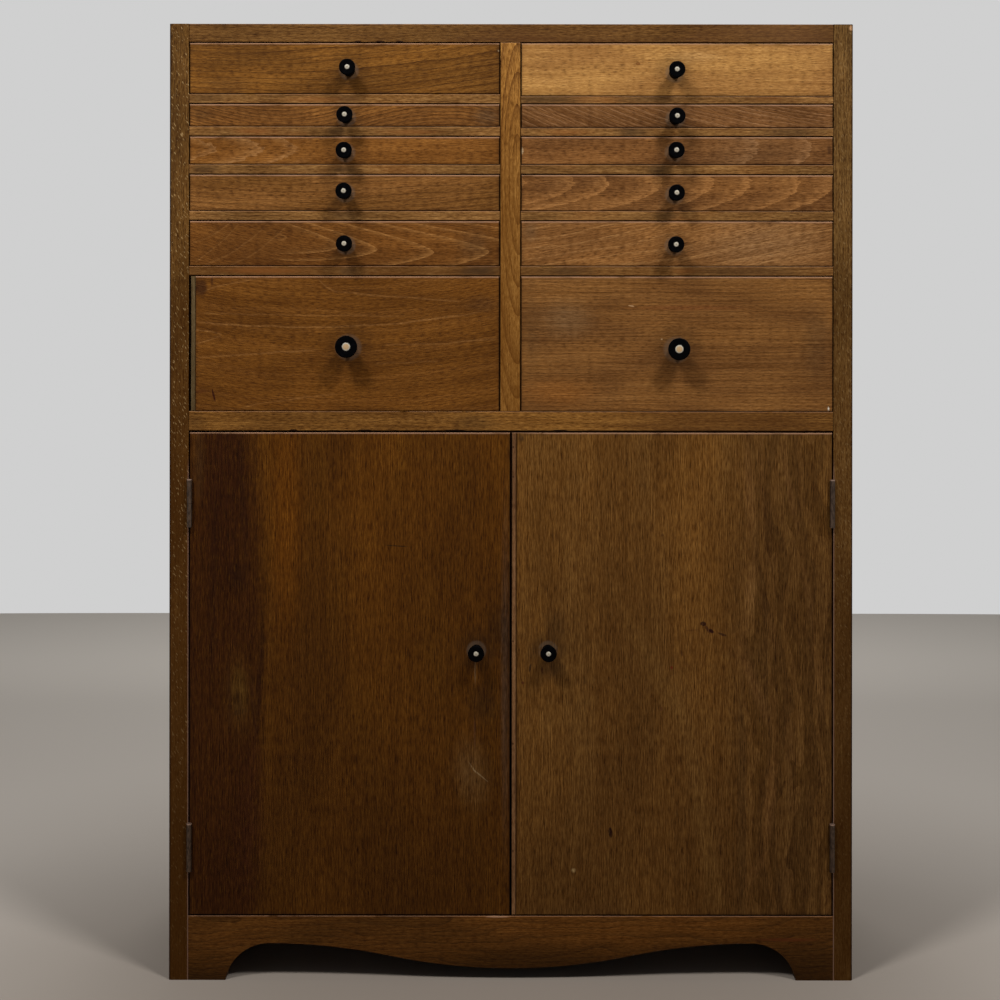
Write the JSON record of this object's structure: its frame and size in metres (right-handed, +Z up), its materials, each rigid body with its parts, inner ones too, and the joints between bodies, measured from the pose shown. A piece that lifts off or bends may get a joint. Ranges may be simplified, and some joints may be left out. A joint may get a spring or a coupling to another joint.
{
  "type": "haberdashery cabinet",
  "caption": "Tall wooden cabinet with two columns of shallow graduated drawers over a flush two-door cupboard, turned dark knobs and a shaped apron with bracket feet.",
  "frame": {"origin": "on the floor, under the centre of the bounding box (knobs included)", "axes": "+X to the viewer's right facing the doors, +Y to the back, +Z up; the doors and drawers face -Y"},
  "size_m": [0.74, 0.4286, 1.035],
  "materials": {
    "carcass_wood": "waxed oak",
    "drawer_front_wood": "waxed hardwood",
    "door_wood": "waxed hardwood",
    "lipping_wood": "waxed hardwood",
    "drawer_box_wood": "bare softwood",
    "panel_wood": "bare thin board",
    "knob_black": "ebonised turned wood",
    "stud_bone": "pale bone-coloured inlay",
    "hinge_steel": "tarnished steel"
  },
  "bodies": {
    "carcass": {"left_side": "carcass_wood", "right_side": "carcass_wood", "top_board": "carcass_wood", "middle_board": "carcass_wood", "bottom_board": "carcass_wood", "centre_divider": "carcass_wood", "left_drawer_shelves": "carcass_wood", "right_drawer_shelves": "carcass_wood", "front_apron": "carcass_wood", "apron_glue_blocks": "carcass_wood", "back_panel": "panel_wood", "cupboard_shelf": "carcass_wood", "shelf_battens": "carcass_wood", "door_stop_batten": "carcass_wood", "drawer_stops": "carcass_wood", "frame_hinge_leaves": "hinge_steel", "hinge_pins": "hinge_steel"},
    "door_left": {"left_door": "door_wood", "left_door_hinge_leaves": "hinge_steel"},
    "door_right": {"right_door": "door_wood", "right_door_lipping": "lipping_wood", "right_door_hinge_leaves": "hinge_steel"},
    "drawer_left_1": {"drawer_left_1_front": "drawer_front_wood", "drawer_left_1_sides_and_back": "drawer_box_wood", "drawer_left_1_bottom": "panel_wood"},
    "drawer_left_2": {"drawer_left_2_front": "drawer_front_wood", "drawer_left_2_sides_and_back": "drawer_box_wood", "drawer_left_2_bottom": "panel_wood"},
    "drawer_left_3": {"drawer_left_3_front": "drawer_front_wood", "drawer_left_3_sides_and_back": "drawer_box_wood", "drawer_left_3_bottom": "panel_wood"},
    "drawer_left_4": {"drawer_left_4_front": "drawer_front_wood", "drawer_left_4_sides_and_back": "drawer_box_wood", "drawer_left_4_bottom": "panel_wood"},
    "drawer_left_5": {"drawer_left_5_front": "drawer_front_wood", "drawer_left_5_sides_and_back": "drawer_box_wood", "drawer_left_5_bottom": "panel_wood"},
    "drawer_left_6": {"drawer_left_6_front": "drawer_front_wood", "drawer_left_6_sides_and_back": "drawer_box_wood", "drawer_left_6_bottom": "panel_wood", "drawer_left_6_packing_strip": "drawer_box_wood"},
    "drawer_right_1": {"drawer_right_1_front": "drawer_front_wood", "drawer_right_1_sides_and_back": "drawer_box_wood", "drawer_right_1_bottom": "panel_wood"},
    "drawer_right_2": {"drawer_right_2_front": "drawer_front_wood", "drawer_right_2_sides_and_back": "drawer_box_wood", "drawer_right_2_bottom": "panel_wood"},
    "drawer_right_3": {"drawer_right_3_front": "drawer_front_wood", "drawer_right_3_sides_and_back": "drawer_box_wood", "drawer_right_3_bottom": "panel_wood"},
    "drawer_right_4": {"drawer_right_4_front": "drawer_front_wood", "drawer_right_4_sides_and_back": "drawer_box_wood", "drawer_right_4_bottom": "panel_wood"},
    "drawer_right_5": {"drawer_right_5_front": "drawer_front_wood", "drawer_right_5_sides_and_back": "drawer_box_wood", "drawer_right_5_bottom": "panel_wood"},
    "drawer_right_6": {"drawer_right_6_front": "drawer_front_wood", "drawer_right_6_sides_and_back": "drawer_box_wood", "drawer_right_6_bottom": "panel_wood"}
  },
  "joints": [
    {"name": "left_door_hinge", "type": "hinge", "parent": "carcass", "child": "door_left", "pos_m": [-0.3474, -0.1889, 0.332], "axis": [0, 0, -1], "range_deg": [0, 170]},
    {"name": "right_door_hinge", "type": "hinge", "parent": "carcass", "child": "door_right", "pos_m": [0.3474, -0.1889, 0.332], "axis": [0, 0, 1], "range_deg": [0, 170]},
    {"name": "drawer_left_1_slide", "type": "slide", "parent": "carcass", "child": "drawer_left_1", "axis": [0, -1, 0], "range_m": [0, 0.3]},
    {"name": "drawer_left_2_slide", "type": "slide", "parent": "carcass", "child": "drawer_left_2", "axis": [0, -1, 0], "range_m": [0, 0.3]},
    {"name": "drawer_left_3_slide", "type": "slide", "parent": "carcass", "child": "drawer_left_3", "axis": [0, -1, 0], "range_m": [0, 0.3]},
    {"name": "drawer_left_4_slide", "type": "slide", "parent": "carcass", "child": "drawer_left_4", "axis": [0, -1, 0], "range_m": [0, 0.3]},
    {"name": "drawer_left_5_slide", "type": "slide", "parent": "carcass", "child": "drawer_left_5", "axis": [0, -1, 0], "range_m": [0, 0.3]},
    {"name": "drawer_left_6_slide", "type": "slide", "parent": "carcass", "child": "drawer_left_6", "axis": [0, -1, 0], "range_m": [0, 0.3]},
    {"name": "drawer_right_1_slide", "type": "slide", "parent": "carcass", "child": "drawer_right_1", "axis": [0, -1, 0], "range_m": [0, 0.3]},
    {"name": "drawer_right_2_slide", "type": "slide", "parent": "carcass", "child": "drawer_right_2", "axis": [0, -1, 0], "range_m": [0, 0.3]},
    {"name": "drawer_right_3_slide", "type": "slide", "parent": "carcass", "child": "drawer_right_3", "axis": [0, -1, 0], "range_m": [0, 0.3]},
    {"name": "drawer_right_4_slide", "type": "slide", "parent": "carcass", "child": "drawer_right_4", "axis": [0, -1, 0], "range_m": [0, 0.3]},
    {"name": "drawer_right_5_slide", "type": "slide", "parent": "carcass", "child": "drawer_right_5", "axis": [0, -1, 0], "range_m": [0, 0.3]},
    {"name": "drawer_right_6_slide", "type": "slide", "parent": "carcass", "child": "drawer_right_6", "axis": [0, -1, 0], "range_m": [0, 0.3]}
  ]
}
